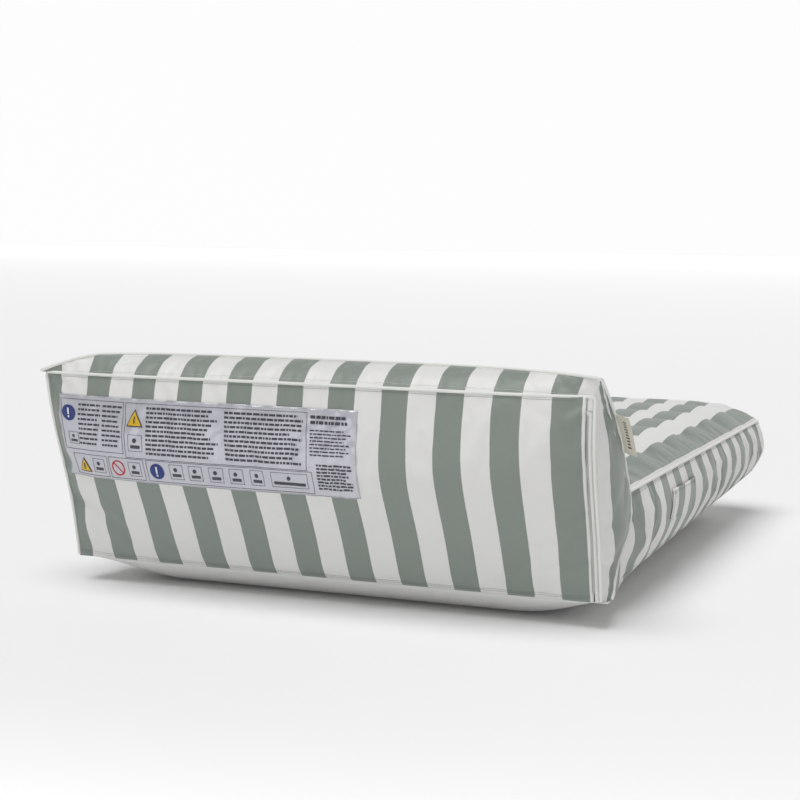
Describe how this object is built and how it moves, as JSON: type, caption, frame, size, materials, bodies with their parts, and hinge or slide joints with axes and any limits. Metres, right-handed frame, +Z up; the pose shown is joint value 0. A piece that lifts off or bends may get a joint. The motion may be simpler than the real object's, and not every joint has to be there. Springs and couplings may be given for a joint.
{
  "type": "inflatable pool lounge chair",
  "caption": "Inflatable pool lounge: a striped zipped fabric cover with piped seams over a flat seat air chamber and a raised backrest air chamber, each with its own screw-cap valve.",
  "frame": {"origin": "on the ground, under the middle of the whole chair as it lies flat", "axes": "+X to the right seen from behind the backrest, +Y from the backrest to the foot end, +Z up"},
  "size_m": [0.8867, 1.2135, 0.366],
  "materials": {
    "striped_polyester": "matte coated plain weave, printed with sage green and white stripes 40 mm wide",
    "white_polyester": "matte white coated plain weave",
    "piping_bias_tape": "white bias tape sewn round a soft cord",
    "cotton_tag_weave": "beige cotton twill, folded",
    "silver_print_film": "silver printed film, slightly crinkled",
    "woven_zip_tape": "woven polyester tape",
    "nylon_zip_coil": "moulded nylon",
    "zinc_slider": "painted die-cast zinc",
    "clear_grey_vinyl": "soft translucent vinyl film",
    "white_valve_vinyl": "moulded soft vinyl",
    "grey_hook_and_loop": "napped hook and loop tape"
  },
  "bodies": {
    "cover_body": {"rear_panel": "striped_polyester", "top_band": "striped_polyester", "back_front_panel": "striped_polyester", "gusset_right": "striped_polyester", "gusset_left": "striped_polyester", "seat_panel": "striped_polyester", "seat_boxing": "striped_polyester", "bottom_panel": "white_polyester", "zip_garage": "white_polyester", "rear_piping": "piping_bias_tape", "front_piping": "piping_bias_tape", "seat_piping": "piping_bias_tape", "side_tag": "cotton_tag_weave", "care_label": "silver_print_film", "zip_tape_rear": "woven_zip_tape", "zip_tape_side": "woven_zip_tape", "zip_coil_rear": "nylon_zip_coil", "zip_coil_side": "nylon_zip_coil", "zip_top_stop": "zinc_slider", "zip_bottom_stop": "zinc_slider", "seat_bladder": "clear_grey_vinyl", "back_bladder": "clear_grey_vinyl", "seat_baffle_1": "clear_grey_vinyl", "seat_baffle_2": "clear_grey_vinyl", "seat_baffle_3": "clear_grey_vinyl", "seat_baffle_4": "clear_grey_vinyl", "seat_baffle_5": "clear_grey_vinyl", "seat_baffle_6": "clear_grey_vinyl", "seat_baffle_7": "clear_grey_vinyl", "back_baffle_1": "clear_grey_vinyl", "back_baffle_2": "clear_grey_vinyl", "seat_valve_base": "white_valve_vinyl", "seat_valve_body": "white_valve_vinyl", "seat_valve_membrane": "white_valve_vinyl", "back_valve_base": "white_valve_vinyl", "back_valve_body": "white_valve_vinyl", "back_valve_membrane": "white_valve_vinyl", "flap_loop_tape": "grey_hook_and_loop"},
    "zip_slider_body": {"zip_slider": "zinc_slider"},
    "valve_flap_body": {"valve_flap": "striped_polyester", "flap_hook_tape": "grey_hook_and_loop"},
    "seat_cap_body": {"seat_valve_cap": "white_valve_vinyl"},
    "back_cap_body": {"back_valve_cap": "white_valve_vinyl"}
  },
  "joints": [
    {"name": "zip_slide", "type": "slide", "parent": "cover_body", "child": "zip_slider_body", "axis": [0, 0.1807, -0.9835], "range_m": [0, 0.236]},
    {"name": "valve_flap_hinge", "type": "hinge", "parent": "cover_body", "child": "valve_flap_body", "pos_m": [0.4388, -0.13135, 0.112], "axis": [0, 0.9987, -0.0506], "range_deg": [0, 150]},
    {"name": "seat_cap_turn", "type": "hinge", "parent": "cover_body", "child": "seat_cap_body", "pos_m": [0.4315, -0.13135, 0.12604], "axis": [1, 0, 0], "range_deg": [0, 450]},
    {"name": "back_cap_turn", "type": "hinge", "parent": "cover_body", "child": "back_cap_body", "pos_m": [0.405, -0.50235, 0.255], "axis": [1, 0, 0], "range_deg": [0, 450]}
  ]
}
